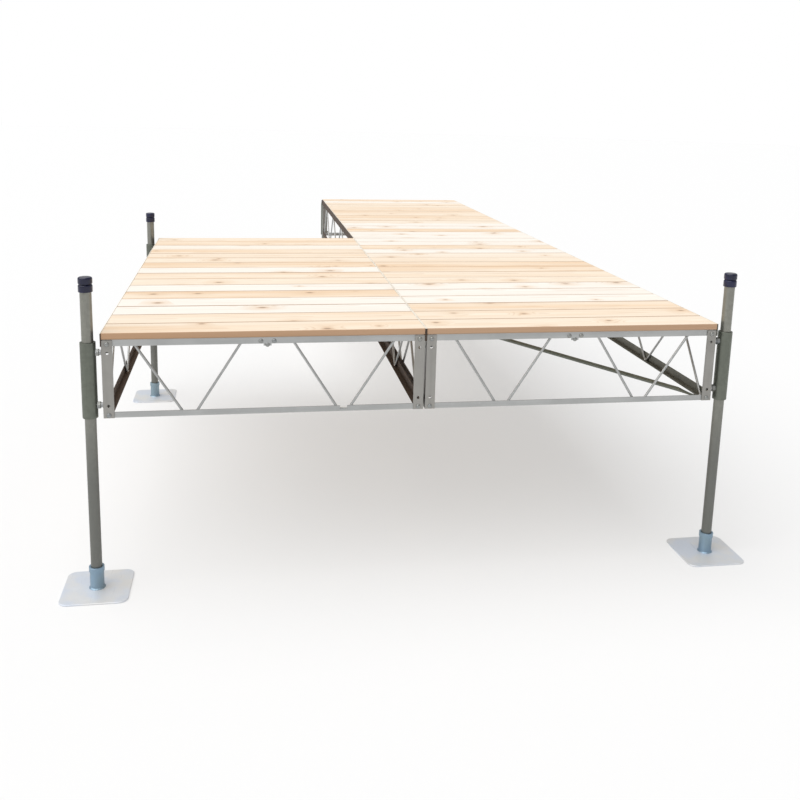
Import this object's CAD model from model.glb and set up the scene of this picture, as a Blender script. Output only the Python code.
"""Looks of an L-shaped sectional jetty, built round its packed frame.

Every piece takes its place from the frame's boxes, in metres. A section is worked on
from its four edges: in an edge's own frame x runs along the edge from its middle, y runs
inwards from the outer faces of the corner posts, and z is the height over the ground.
"""
import math

import bmesh
import bpy
from bpy.props import FloatProperty, FloatVectorProperty, IntProperty, PointerProperty
from bpy.types import Operator, Panel, PropertyGroup
from mathutils import Euler, Matrix, Vector


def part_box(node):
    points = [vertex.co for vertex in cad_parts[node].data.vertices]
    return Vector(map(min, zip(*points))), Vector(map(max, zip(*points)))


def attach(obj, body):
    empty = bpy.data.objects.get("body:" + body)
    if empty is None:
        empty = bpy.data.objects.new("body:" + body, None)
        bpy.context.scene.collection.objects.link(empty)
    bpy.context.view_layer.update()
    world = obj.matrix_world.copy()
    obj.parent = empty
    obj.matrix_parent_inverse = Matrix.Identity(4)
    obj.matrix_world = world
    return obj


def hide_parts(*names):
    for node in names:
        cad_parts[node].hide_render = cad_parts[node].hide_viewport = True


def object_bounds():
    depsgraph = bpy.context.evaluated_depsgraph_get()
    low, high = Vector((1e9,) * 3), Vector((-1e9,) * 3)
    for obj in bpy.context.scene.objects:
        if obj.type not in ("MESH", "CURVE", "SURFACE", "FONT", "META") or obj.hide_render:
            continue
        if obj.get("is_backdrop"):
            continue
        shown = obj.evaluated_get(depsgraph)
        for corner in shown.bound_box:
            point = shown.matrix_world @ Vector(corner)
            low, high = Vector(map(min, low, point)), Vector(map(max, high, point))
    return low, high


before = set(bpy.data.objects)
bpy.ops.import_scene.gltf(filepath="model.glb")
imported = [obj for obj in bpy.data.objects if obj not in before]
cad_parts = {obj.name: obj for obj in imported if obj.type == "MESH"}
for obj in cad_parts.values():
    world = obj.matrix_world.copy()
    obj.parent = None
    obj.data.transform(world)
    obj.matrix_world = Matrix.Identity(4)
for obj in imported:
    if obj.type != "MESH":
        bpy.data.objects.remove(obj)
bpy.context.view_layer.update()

bl_info = {
    "name": "Sectional Jetty",
    "version": (1, 0, 0),
    "blender": (4, 5, 0),
    "location": "3D View > Sidebar > Jetty",
    "description": "Deck, truss frame, legs and studio of an L-shaped sectional jetty",
    "category": "Add Mesh",
}

MM = 0.001
BODY = "root"
SECTIONS = ("near_left", "near_right", "far_right")
BRACED_SECTIONS = ("near_right", "far_right")
# Each leg, with the section that it stands beside
LEGS = {
    "front_left_leg": "near_left",
    "front_right_leg": "near_right",
    "rear_left_leg": "near_left",
    "shore_left_leg": "far_right",
    "shore_right_leg": "far_right",
}
# Edges of a section, with the quarter turns from the front edge to each
EDGES = {"front": 0, "right": 1, "back": 2, "left": 3}
# Pairs of neighbouring sections, with the edge of the first one that they share
JOINTS = (("near_left", "right"), ("near_right", "back"))


# ---- Sizes and colours ------------------------------------------------------------


def length(name, text, default):
    """Length property, given in millimetres."""
    return FloatProperty(
        name=name, description=text, default=default * MM, min=0, unit="LENGTH", precision=4
    )


def colour(name, text, default):
    """Colour property, without the alpha."""
    return FloatVectorProperty(
        name=name, description=text, default=(*default, 1), size=4, min=0, max=1, subtype="COLOR"
    )


def strength(name, text, default):
    """Strength of a light."""
    return FloatProperty(name=name, description=text, default=default, min=0)


def degrees(name, text, default):
    """Turn about X, Y and Z, given in degrees."""
    turn = tuple(math.radians(angle) for angle in default)
    return FloatVectorProperty(name=name, description=text, default=turn, size=3, subtype="EULER")


class JettyTimber(PropertyGroup):
    """Sizes and colours of the deck"""

    board_count: IntProperty(name="Boards", description="Boards in one section", default=16, min=2)
    board_gap: length("Board gap", "Gap between two boards", 5)
    edge_r: length("Edge radius", "Rounding of a board's long edges", 2.5)
    sink: length("Sink", "Most that a board lies low", 0.8)
    narrowing: FloatProperty(name="Narrowing", description="Most a board has shrunk", default=0.012)
    seed: IntProperty(name="Seed", description="Choice of the boards", default=4)
    screw_d: length("Screw head", "Diameter of a deck screw's head", 6.5)
    screw_inset: length("Screw inset", "Distance of the screws from a board's end", 14)
    screw: colour("Screws", "Tan coating of the deck screws", (0.50, 0.40, 0.29))
    sapwood: colour("Sapwood", "Palest wood", (0.83, 0.72, 0.585))
    heartwood: colour("Heartwood", "Peachy wood of the darker boards", (0.77, 0.575, 0.395))
    latewood: colour("Latewood", "Thin dark lines of the grain", (0.50, 0.30, 0.17))
    bleached: colour("Bleached wood", "Near-white wood of the palest boards", (0.85, 0.82, 0.765))
    sawn: colour("Sawn edge", "Darker wood of a board's edges", (0.44, 0.25, 0.135))
    knot: colour("Knot", "Core of a knot", (0.24, 0.135, 0.075))


class JettyFrame(PropertyGroup):
    """Sizes and colours of the truss frame"""

    angle_t: length("Angle thickness", "Thickness of the chords", 3)
    flange_w: length("Flange", "Width of a chord's flat leg", 26)
    top_chord_h: length("Top chord", "Height of a top chord below the boards", 26)
    end_chord_h: length("End bottom chord", "Height of a bottom chord across the ends", 23)
    side_chord_h: length("Side bottom chord", "Height of a bottom chord along the sides", 38)
    board_t: length("Board thickness", "Height that the side chords stand up past the boards", 25)
    post_w: length("Post width", "Width of each leg of a corner post", 40)
    post_t: length("Post thickness", "Thickness of a corner post", 4)
    rod_d: length("Rod", "Thickness of the bent web rod", 10)
    end_bend_r: length("End bend", "Bend of the rod in an end truss", 20)
    side_bend_r: length("Side bend", "Bend of the rod in a side truss", 12)
    side_bay: length("Side bay", "Length of a bay of the zig-zag along a side", 303)
    side_bays: IntProperty(name="Side bays", description="Bays along a side", default=8)
    side_flat: length("Side flat", "Rod lying on the chord at each bend of a side", 26)
    end_top: FloatVectorProperty(
        name="End web, top", description="Bends at the top, as shares of the width",
        default=(0.092, 0.4265), size=2,
    )
    end_bottom: FloatVectorProperty(
        name="End web, bottom", description="Bends at the bottom, as shares of the width",
        default=(0.2435, 0.2775), size=2,
    )
    clip_w: length("Clip width", "Width of the clip under the bearer", 30)
    clip_drop: length("Clip drop", "Length of the clip below its chord", 9)
    clip_reach: length("Clip reach", "Length of the clip's tongue", 70)
    notch_w: length("Notch width", "Width of the notch in the left section's front chord", 28)
    notch_h: length("Notch depth", "Depth of that notch", 14)
    hole_d: length("Bolt hole", "Diameter of the bolt holes in the posts", 12)
    hole_drop: length("Hole drop", "Upper bolt hole below the boards' top", 77)
    hole_pitch: length("Hole pitch", "Distance between the two holes of a post", 203)
    clip_bolt: length("Clip bolts", "Distance of the clip's bolts from its middle", 25)
    screw_drop: length("Set screw drop", "Distance of a set screw below the bolt beside it", 23)
    chord: colour("Chords", "Mill-finish aluminium of the chords", (0.43, 0.437, 0.432))
    side_chord: colour("Side chords", "Stained aluminium of the side chords", (0.088, 0.064, 0.050))
    bare_chord: colour("Bare side chords", "Cleaner chords on the right side", (0.165, 0.165, 0.140))
    worn: colour("Worn edge", "Top edge of the lips, rubbed bright", (0.86, 0.80, 0.70))
    post: colour("Posts", "Duller aluminium of the posts", (0.33, 0.322, 0.302))
    bolt: colour("Bolts", "Grey zinc of the bolts", (0.30, 0.305, 0.30))


class JettyLegs(PropertyGroup):
    """Sizes and colours of the legs"""

    pipe_wall: length("Pipe wall", "Wall of a leg pipe", 3.2)
    slide_gap: length("Slide gap", "Gap between a pipe and its sleeve", 0.6)
    spacer_d: length("Spacer", "Diameter of the spacers to the post", 19)
    plate_t: length("Plate", "Thickness of the foot plate", 6)
    plate_corner: length("Plate corner", "Corner radius of the foot plate", 34)
    socket_d: length("Socket", "Diameter of the collar at the socket's top", 58)
    weld: length("Weld", "Size of the weld round the socket's root", 5)
    collar_step: length("Collar step", "How far the socket's collar stands out", 2.5)
    collar_h: length("Collar", "Height of the socket's upper rim", 20)
    cap_wall: length("Cap wall", "Gap left by the cap's skirt round the pipe", 0.3)
    cap_crown: length("Cap crown", "Thickness of the cap's top", 5)
    cap_groove: length("Cap groove", "Rounding of a cap's tiers where they meet", 6)
    cap_top_r: length("Cap top", "Rounding of the cap's top edge", 7)
    nut_across: length("Nut", "Width of the nuts on the sleeves", 26)
    pipe: colour("Pipe", "Dull galvanised pipe", (0.25, 0.25, 0.222))
    stain: colour("Stain", "Duller pipe below the frame", (0.165, 0.168, 0.155))
    sleeve: colour("Sleeve", "Darker galvanised sleeve", (0.15, 0.162, 0.136))
    zinc: colour("Zinc", "Bright zinc of the foot plates", (0.66, 0.675, 0.71))
    socket: colour("Socket", "Bluer zinc of the sockets", (0.245, 0.335, 0.41))
    cap: colour("Cap", "Glossy blue-black plastic", (0.006, 0.007, 0.028))


class JettyStudio(PropertyGroup):
    """Floor, light and camera"""

    floor: colour("Floor", "Colour of the floor", (0.44, 0.44, 0.44))
    glow: strength("Glow", "Light that the floor gives off, which softens shadows", 0.41)
    floor_r: length("Floor radius", "Radius of the floor", 60000)
    sky: strength("Sky", "Strength of the light from all round", 0.50)
    backdrop: strength("Backdrop", "Brightness of the background", 1.0)
    lamp: strength("Lamp", "Strength of the wide soft lamp overhead", 2.9)
    lamp_width: FloatProperty(
        name="Lamp width", description="Angle that the lamp spans",
        default=math.radians(80), subtype="ANGLE",
    )
    lamp_turn: degrees("Lamp turn", "How the lamp is turned", (8, -26, 0))
    camera_place: FloatVectorProperty(
        name="Camera place", description="Where the camera stands",
        default=(-0.692, -5.856, 1.866), size=3, subtype="TRANSLATION", unit="LENGTH",
    )
    camera_turn: degrees("Camera turn", "How the camera is turned", (78.94, -1.43, -9.44))
    lens: FloatProperty(name="Lens", description="Focal length in millimetres", default=41.24)
    shift: FloatVectorProperty(
        name="Shift", description="Shift of the picture", default=(0.0012, -0.144), size=2
    )


# ---- Node trees -------------------------------------------------------------------


class Wire:
    """Output of a node; arithmetic on it adds Math nodes to its tree."""

    def __init__(self, tree, socket):
        self.tree = tree
        self.socket = socket

    def _math(self, operation, *values):
        return self.tree.node("ShaderNodeMath", {"operation": operation}, dict(enumerate(values)))

    def __add__(self, other):
        return self._math("ADD", self, other)

    def __sub__(self, other):
        return self._math("SUBTRACT", self, other)

    def __rsub__(self, other):
        return self._math("SUBTRACT", other, self)

    def __mul__(self, other):
        return self._math("MULTIPLY", self, other)

    def __truediv__(self, other):
        return self._math("DIVIDE", self, other)

    def __pow__(self, other):
        return self._math("POWER", self, other)

    def __abs__(self):
        return self._math("ABSOLUTE", self)

    __radd__ = __add__
    __rmul__ = __mul__

    def fraction(self):
        return self._math("FRACT", self)

    def between(self, low, high):
        """Smooth step from 0, at low, to 1, at high."""
        return self.tree.node(
            "ShaderNodeMapRange", {"interpolation_type": "SMOOTHSTEP"},
            {"Value": self, "From Min": low, "From Max": high},
        )


class Tree:
    """Node tree under construction."""

    def __init__(self, tree):
        self.tree = tree

    @staticmethod
    def _socket(sockets, key):
        if isinstance(key, int):
            return sockets[key]
        return next(s for s in sockets if s.name == key and s.enabled)

    def node(self, kind, settings=None, inputs=None, output=0):
        """Adds a node, sets it up and returns the chosen output."""
        made = self.tree.nodes.new(kind)
        for key, value in (settings or {}).items():
            setattr(made, key, value)
        for key, value in (inputs or {}).items():
            socket = self._socket(made.inputs, key)
            if isinstance(value, Wire):
                self.tree.links.new(value.socket, socket)
            else:
                socket.default_value = value
        return Wire(self, self._socket(made.outputs, output)) if len(made.outputs) else made

    def vector(self, operation, *values):
        return self.node("ShaderNodeVectorMath", {"operation": operation}, dict(enumerate(values)))

    def mix(self, factor, first, second):
        """Colour between two others."""
        inputs = {0: factor, 6: first, 7: second}
        return self.node("ShaderNodeMix", {"data_type": "RGBA"}, inputs, output=2)

    def parts(self, vector):
        """X, Y and Z of a vector."""
        split = self.node("ShaderNodeSeparateXYZ", None, {0: vector}).socket.node
        return [Wire(self, socket) for socket in split.outputs]

    def cells(self, place, scale, output, settings=None):
        """Distance to the nearest of scattered cells, or that cell's random Color."""
        inputs = {"Vector": place, "Scale": scale}
        return self.node("ShaderNodeTexVoronoi", settings, inputs, output=output)

    def noise(self, place, scale, detail=3.0, roughness=0.55, stretch=(1, 1, 1)):
        """Cloudy value from 0 to 1, drawn out along the axes where stretch is small."""
        where = self.vector("MULTIPLY", place, stretch)
        inputs = {"Vector": where, "Scale": scale, "Detail": detail, "Roughness": roughness}
        return self.node("ShaderNodeTexNoise", None, inputs)


class Finish(Tree):
    """Material under construction, on Object coordinates."""

    def __init__(self, name):
        self.material = bpy.data.materials.new(name)
        self.material.use_nodes = True
        super().__init__(self.material.node_tree)
        self.tree.nodes.clear()
        self.place = self.node("ShaderNodeTexCoord", output="Object")

    def attribute(self, name, output):
        return self.node("ShaderNodeAttribute", {"attribute_name": name}, output=output)

    def bump(self, height, distance, strength=1.0):
        return self.node(
            "ShaderNodeBump", None, {"Strength": strength, "Distance": distance, "Height": height}
        )

    def surface(self, **values):
        """Ends the material in one shader; underscores stand for the spaces of a socket's name."""
        inputs = {key.replace("_", " "): value for key, value in values.items()}
        shader = self.node("ShaderNodeBsdfPrincipled", None, inputs)
        self.node("ShaderNodeOutputMaterial", None, {"Surface": shader})
        return self.material


def shade(tint, share):
    """Colour made darker or paler by a share."""
    return tuple(min(part * share, 1) for part in tint[:3]) + (1,)


# ---- Materials --------------------------------------------------------------------


def planed_timber(look, half_w, thick):
    """Softwood with growth rings, knots, and a tone of its own for each board."""
    finish = Finish("planed_timber")
    tone = finish.attribute("board_tone", "Fac")
    place = finish.attribute("grain", "Vector")
    spot = finish.vector("ADD", place, finish.attribute("board_shift", "Vector"))
    along, across, depth = finish.parts(place)
    edge = abs(across).between(half_w - 2.6 * MM, half_w - 0.7 * MM)
    # Knots: one cell in three holds one, an oval with tan, dense grain round it
    cell = finish.vector("MULTIPLY", spot, (4.2, 6.0, 0))
    flat = {"voronoi_dimensions": "2D"}
    distance = finish.cells(cell, 1.0, "Distance", flat)
    chance = finish.parts(finish.cells(cell, 1.0, "Color", flat))
    has_knot = chance[0].between(0.64, 0.68) * (1 - edge)
    reach = distance / (0.032 + 0.050 * chance[1]) + (finish.noise(spot, 160, 2) - 0.5) * 0.35
    core = reach.between(1.0, 0.4) * has_knot
    rim = reach.between(1.9, 0.9) * has_knot
    halo = reach.between(6.5, 1.0) * has_knot
    # Growth rings round a heart that lies below the board and wanders along it
    wander = finish.noise(spot, 1.3, 2, stretch=(1, 0.6, 0.6)) - 0.5
    ripple = finish.noise(spot, 9, 3, stretch=(0.35, 1, 1)) - 0.5
    aside = across + (tone - 0.5) * 0.11 + wander * 0.12
    below = depth + 0.05 + 0.05 * tone
    ring_r = (aside * aside + below * below) ** 0.5
    ring_r = ring_r + along * 0.012 + ripple * 0.010 + halo * 0.012
    ring = (ring_r * 190.0).fraction()
    late = ring.between(0.45, 0.95) * ring.between(1.0, 0.95)
    # Fibres, pores, and long bands of warmer wood
    fibre = finish.noise(spot, 22, 4, 0.65, stretch=(0.045, 1, 1))
    pores = finish.noise(spot, 260, 2, 0.5, stretch=(0.03, 1, 1))
    band = finish.noise(spot, 13, 3, 0.6, stretch=(0.05, 1, 1))
    cloud = finish.noise(spot, 3, 2, stretch=(0.3, 1, 1))
    pale = tone.between(0.26, 0.16)
    warmth = tone.between(0.20, 1.0) * 0.60 + (band - 0.5) * 2.4 + (cloud - 0.5) * 1.0
    wood = finish.mix(warmth.between(0.0, 1.0), look.sapwood[:], look.heartwood[:])
    wood = finish.mix(pale * 0.84, wood, look.bleached[:])
    wood = finish.mix(late * (0.05 + 0.34 * fibre + halo * 0.25), wood, look.latewood[:])
    wood = finish.mix(fibre.between(0.50, 0.80) * (0.22 + halo * 0.30), wood, look.latewood[:])
    wood = finish.mix(halo * 0.42, wood, shade(look.heartwood, 0.95))
    wood = finish.mix(rim * 0.42, wood, look.latewood[:])
    wood = finish.mix(core * 0.66, wood, look.knot[:])
    # Sawn edges are darker than the planed face, and darkest along their foot
    sawn = finish.mix(fibre.between(0.35, 0.75) * 0.4, look.sawn[:], shade(look.sawn, 0.75))
    foot = depth.between(6 * MM - thick, 1 * MM - thick)
    sawn = finish.mix(foot * 0.6, sawn, shade(look.sawn, 0.45))
    wood = finish.mix(edge * 0.85, wood, sawn)
    relief = fibre * 0.6 + late * 0.3 + pores * 0.35 - core * 0.6
    rough = 0.58 + (pores - 0.5) * 0.12 + core * -0.12
    return finish.surface(
        Base_Color=wood, Roughness=rough, Specular_IOR_Level=0.35,
        Normal=finish.bump(relief, 0.0006, 0.55),
    )


def mill_aluminium(name, tint, run, dull=0.0, worn=None, worn_z=0.0, metallic=0.85, gloss=0.5):
    """Extruded aluminium with streaks along run, scuffs, cloudy oxide and a worn top edge."""
    finish = Finish(name)
    stretch = tuple(0.02 if part else 1 for part in run)
    streak = finish.noise(finish.place, 420, 3, 0.6, stretch=stretch)
    band = finish.noise(finish.place, 60, 2, 0.5, stretch=stretch)
    cloud = finish.noise(finish.place, 7, 4, 0.6)
    scuff = finish.noise(finish.place, 38, 5, 0.7).between(0.60, 0.72)
    metal = finish.mix(cloud.between(0.30, 0.70) * 0.55, shade(tint, 1.05), shade(tint, 0.86))
    metal = finish.mix(band.between(0.42, 0.68) * 0.30, metal, shade(tint, 0.80))
    metal = finish.mix(scuff * 0.25, metal, shade(tint, 1.22))
    if worn:
        height = finish.parts(finish.place)[2]
        metal = finish.mix(height.between(worn_z - 1.6 * MM, worn_z - 0.6 * MM), metal, worn)
    rough = 0.36 + dull + (streak - 0.5) * 0.22 + (cloud - 0.5) * 0.20
    relief = streak * 0.7 + band * 0.5 + scuff * 0.4
    return finish.surface(
        Base_Color=metal, Metallic=metallic, Roughness=rough, Specular_IOR_Level=gloss,
        Normal=finish.bump(relief, 0.00012, 0.5),
    )


def rolled_rod(name, tint):
    """Round bar with fine mill scale and no direction of its own."""
    finish = Finish(name)
    cloud = finish.noise(finish.place, 24, 4, 0.6)
    speck = finish.noise(finish.place, 420, 2, 0.6)
    metal = finish.mix(cloud.between(0.35, 0.70) * 0.6, shade(tint, 1.02), shade(tint, 0.80))
    rough = 0.40 + (speck - 0.5) * 0.25
    return finish.surface(
        Base_Color=metal, Metallic=0.8, Roughness=rough, Normal=finish.bump(speck, 0.00010, 0.5)
    )


def galvanised(name, tint, dull, stain=None, stain_z=0.0):
    """Hot-dip zinc: faint crystals, runs down the pipe, dull patches, a stain below a height."""
    finish = Finish(name)
    crystal = finish.parts(finish.cells(finish.place, 95.0, "Color"))[0]
    runs = finish.noise(finish.place, 120, 4, 0.6, stretch=(1, 1, 0.05))
    cloud = finish.noise(finish.place, 9, 4, 0.6, stretch=(1, 1, 0.5))
    metal = finish.mix(crystal * 0.30, shade(tint, 1.08), shade(tint, 0.82))
    if stain:
        height = finish.parts(finish.place)[2] + (cloud - 0.5) * 0.2
        metal = finish.mix(height.between(stain_z + 0.1, stain_z - 0.3), metal, stain)
    metal = finish.mix(runs.between(0.45, 0.75) * 0.35, metal, shade(tint, 0.74))
    metal = finish.mix(cloud.between(0.50, 0.80) * 0.40, metal, shade(tint, 1.30))
    rough = 0.38 + dull + (crystal - 0.5) * 0.12 + (cloud - 0.5) * 0.20
    relief = runs * 0.6 + crystal * 0.25 + cloud * 0.3
    return finish.surface(
        Base_Color=metal, Metallic=0.75, Roughness=rough, Normal=finish.bump(relief, 0.00025, 0.5)
    )


def bright_zinc(name, tint, rough, metallic):
    """Zinc plating with pale blue and straw tints and handling marks."""
    finish = Finish(name)
    tintings = finish.noise(finish.place, 8, 3, 0.5)
    smear = finish.noise(finish.place, 30, 4, 0.65)
    scratch = finish.noise(finish.place, 90, 3, 0.6, stretch=(1, 0.08, 1)).between(0.62, 0.70)
    blue = (tint[0] * 0.94, tint[1] * 0.99, min(tint[2] * 1.05, 1), 1)
    straw = (min(tint[0] * 1.05, 1), tint[1] * 1.03, tint[2] * 0.97, 1)
    metal = finish.mix(tintings.between(0.35, 0.65), blue, straw)
    metal = finish.mix(smear.between(0.50, 0.80) * 0.20, metal, shade(tint, 1.12))
    metal = finish.mix(scratch * 0.22, metal, shade(tint, 0.80))
    roughness = rough + (smear - 0.5) * 0.18 + scratch * 0.12
    relief = smear * 0.5 - scratch * 0.6
    return finish.surface(
        Base_Color=metal, Metallic=metallic, Roughness=roughness,
        Normal=finish.bump(relief, 0.00015, 0.4),
    )


def cap_plastic(look):
    """Glossy moulded plastic with faint dust and moulding waves."""
    finish = Finish("cap_plastic")
    dust = finish.noise(finish.place, 140, 4, 0.7).between(0.52, 0.80)
    wave = finish.noise(finish.place, 28, 2, 0.5)
    body = finish.mix(wave.between(0.35, 0.70) * 0.6, look.cap[:], shade(look.cap, 2.2))
    body = finish.mix(dust * 0.03, body, (0.30, 0.31, 0.38, 1))
    rough = 0.14 + dust * 0.22 + wave * 0.06
    return finish.surface(
        Base_Color=body, Roughness=rough, Specular_IOR_Level=0.35,
        Coat_Weight=0.15 + wave * 0.1, Coat_Roughness=0.08,
        Normal=finish.bump(wave + dust * 0.2, 0.0002, 0.35),
    )


# ---- Mesh tools -------------------------------------------------------------------

SMOOTH_LIMIT = math.radians(35)


def around(sides, turn=0.0):
    """Cosine and sine at equal steps round a circle."""
    angles = [turn + 2 * math.pi * i / sides for i in range(sides)]
    return [(math.cos(angle), math.sin(angle)) for angle in angles]


def round_corners(points, radii, steps=3, hold=0.3 * MM):
    """Closed outline with each corner turned into an arc, held by a point just beyond each end.

    radii is one number or one for each corner; a corner with radius 0 stays sharp.
    """
    corners = [Vector(p) for p in points]
    if not hasattr(radii, "__len__"):
        radii = [radii] * len(corners)
    outline = []
    for i, corner in enumerate(corners):
        if radii[i] == 0:
            outline.append(corner)
            continue
        back = (corners[i - 1] - corner).normalized()
        ahead = (corners[(i + 1) % len(corners)] - corner).normalized()
        half = back.angle(ahead) / 2
        reach = radii[i] / math.tan(half)
        centre = corner + (back + ahead).normalized() * (radii[i] / math.sin(half))
        first, last = corner + back * reach - centre, corner + ahead * reach - centre
        turn = math.pi - 2 * half
        outline.append(corner + back * (reach + hold))
        for step in range(steps + 1):
            share = step / steps
            arm = first * math.sin((1 - share) * turn) + last * math.sin(share * turn)
            outline.append(centre + arm / math.sin(turn))
        outline.append(corner + ahead * (reach + hold))
    return outline


class Shape:
    """Mesh under construction, in metres."""

    def __init__(self):
        self.bm = bmesh.new()

    def loft(self, rings, capped):
        """Skin over rings of equal length, with a flat cap at each end or joined in a loop."""
        rows = [[self.bm.verts.new(p) for p in ring] for ring in rings]
        following = rows[1:] if capped else rows[1:] + rows[:1]
        for low, high in zip(rows, following):
            for i in range(len(low)):
                j = (i + 1) % len(low)
                self.bm.faces.new((low[i], low[j], high[j], high[i]))
        if capped:
            self.bm.faces.new(rows[0][::-1])
            self.bm.faces.new(rows[-1])

    def bar(self, outline, start, end, place=Matrix()):
        """Outline in Y and Z, drawn along X from start to end."""
        self.loft([[place @ Vector((x, p[0], p[1])) for p in outline] for x in (start, end)], True)

    def plate(self, outline, low, high, place=Matrix()):
        """Outline in X and Y, drawn up Z from low to high."""
        self.loft([[place @ Vector((p[0], p[1], z)) for p in outline] for z in (low, high)], True)

    def turned(self, profile, place=Matrix(), sides=32):
        """Closed profile of radius and height, turned round Z as a tube."""
        spokes = around(sides)
        self.loft([[place @ Vector((r * c, r * s, z)) for r, z in profile] for c, s in spokes], False)

    def domed(self, profile, place=Matrix(), sides=32):
        """Profile of radius and height from the rim of its base to its top, closed by flat ends."""
        spokes = around(sides)
        self.loft([[place @ Vector((r * c, r * s, z)) for c, s in spokes] for r, z in profile], True)

    def mesh(self, name, material=None):
        bmesh.ops.recalc_face_normals(self.bm, faces=self.bm.faces)
        for face in self.bm.faces:
            face.smooth = True
        made = bpy.data.meshes.new(name)
        self.bm.to_mesh(made)
        self.bm.free()
        made.set_sharp_from_angle(angle=SMOOTH_LIMIT)
        if material:
            made.materials.append(material)
        return made


def add_object(name, mesh):
    piece = bpy.data.objects.new(name, mesh)
    bpy.context.scene.collection.objects.link(piece)
    return piece


def join_meshes(name, meshes):
    """One mesh from several, each with one material."""
    joined = bmesh.new()
    materials = []
    for mesh in meshes:
        first = len(joined.faces)
        joined.from_mesh(mesh)
        joined.faces.ensure_lookup_table()
        material = mesh.materials[0]
        if material not in materials:
            materials.append(material)
        for face in joined.faces[first:]:
            face.material_index = materials.index(material)
    made = bpy.data.meshes.new(name)
    joined.to_mesh(made)
    joined.free()
    for material in materials:
        made.materials.append(material)
    return made


def add_piece(name, mesh, slot, *nodes):
    """Puts a finished mesh on the jetty, in a material slot, in place of its nodes."""
    piece = add_object(name, mesh)
    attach(piece, BODY)
    if nodes:
        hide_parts(*nodes)
    return piece


def angle_outline(corner, leg_y, leg_z, thick):
    """L-shaped outline from its outer corner, with legs along Y and Z, which may be negative."""
    y, z = corner
    in_y, in_z = math.copysign(thick, leg_y), math.copysign(thick, leg_z)
    points = [
        (y, z), (y + leg_y, z), (y + leg_y, z + in_z),
        (y + in_y, z + in_z), (y + in_y, z + leg_z), (y, z + leg_z),
    ]
    toe = thick * 0.3
    return round_corners(points, [thick * 0.35, toe, toe, thick * 0.7, toe, toe], 2)


def strip_outline(low, high, edge):
    """Rectangle between two corners, with rounded edges."""
    return round_corners([low, (high[0], low[1]), high, (low[0], high[1])], edge, 2)


# ---- Geometry Nodes ---------------------------------------------------------------


class Rule(Tree):
    """Geometry Nodes tree with named inputs, ending in Realize Instances and Set Material."""

    def __init__(self, name, inputs):
        super().__init__(bpy.data.node_groups.new(name, "GeometryNodeTree"))
        face = self.tree.interface
        face.new_socket("Geometry", in_out="INPUT", socket_type="NodeSocketGeometry")
        for label, kind in {**inputs, "Material": "Material"}.items():
            face.new_socket(label, in_out="INPUT", socket_type="NodeSocket" + kind)
        face.new_socket("Geometry", in_out="OUTPUT", socket_type="NodeSocketGeometry")
        self.entry = self.tree.nodes.new("NodeGroupInput")

    def given(self, label):
        return Wire(self, self.entry.outputs[label])

    def shape_of(self, label):
        """Geometry of the object that an input names."""
        return self.node("GeometryNodeObjectInfo", None, {"Object": self.given(label)}, output="Geometry")

    def end(self, geometry):
        solid = self.node("GeometryNodeRealizeInstances", None, {"Geometry": geometry})
        inputs = {"Geometry": solid, "Material": self.given("Material")}
        dressed = self.node("GeometryNodeSetMaterial", None, inputs)
        self.node("NodeGroupOutput", None, {"Geometry": dressed})
        return self.tree

    def store(self, geometry, name, value, kind="FLOAT_VECTOR", domain="POINT"):
        settings = {"data_type": kind, "domain": domain}
        inputs = {"Geometry": geometry, "Name": name, "Value": value}
        return self.node("GeometryNodeStoreNamedAttribute", settings, inputs)

    def chance(self, kind, low, high, seed_step):
        """Random value for each instance, from the tree's seed and a step of its own."""
        inputs = {"Min": low, "Max": high, "Seed": self.given("Seed") + seed_step}
        return self.node("FunctionNodeRandomValue", {"data_type": kind}, inputs, output="Value")


def board_row_rule():
    """Row of boards along Y, each a little shrunk and sunk, with a tone and grain of its own."""
    rule = Rule("board_row", {
        "Board": "Object", "Boards": "Int", "Pitch": "Float",
        "Narrowing": "Float", "Sink": "Float", "Seed": "Int",
    })
    step = rule.node("ShaderNodeCombineXYZ", None, {"Y": rule.given("Pitch")})
    count = rule.given("Boards")
    line = rule.node("GeometryNodeMeshLine", {"mode": "OFFSET"}, {"Count": count, "Offset": step})
    board = rule.store(rule.shape_of("Board"), "grain", rule.node("GeometryNodeInputPosition"))
    shrink = 1 - rule.given("Narrowing") * rule.chance("FLOAT", 0.0, 1.0, 1)
    size = rule.node("ShaderNodeCombineXYZ", None, {"X": 1.0, "Y": shrink, "Z": 1.0})
    inputs = {"Points": line, "Instance": board, "Scale": size}
    row = rule.node("GeometryNodeInstanceOnPoints", None, inputs)
    drop = rule.given("Sink") * rule.chance("FLOAT", -1.0, 0.0, 2)
    drop = rule.node("ShaderNodeCombineXYZ", None, {"Z": drop})
    row = rule.node("GeometryNodeTranslateInstances", None, {"Instances": row, "Translation": drop})
    row = rule.store(row, "board_tone", rule.chance("FLOAT", 0.0, 1.0, 3), "FLOAT", "INSTANCE")
    shift = rule.chance("FLOAT_VECTOR", (-40, -40, -40), (40, 40, 40), 4)
    return rule.end(rule.store(row, "board_shift", shift, "FLOAT_VECTOR", "INSTANCE"))


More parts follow.
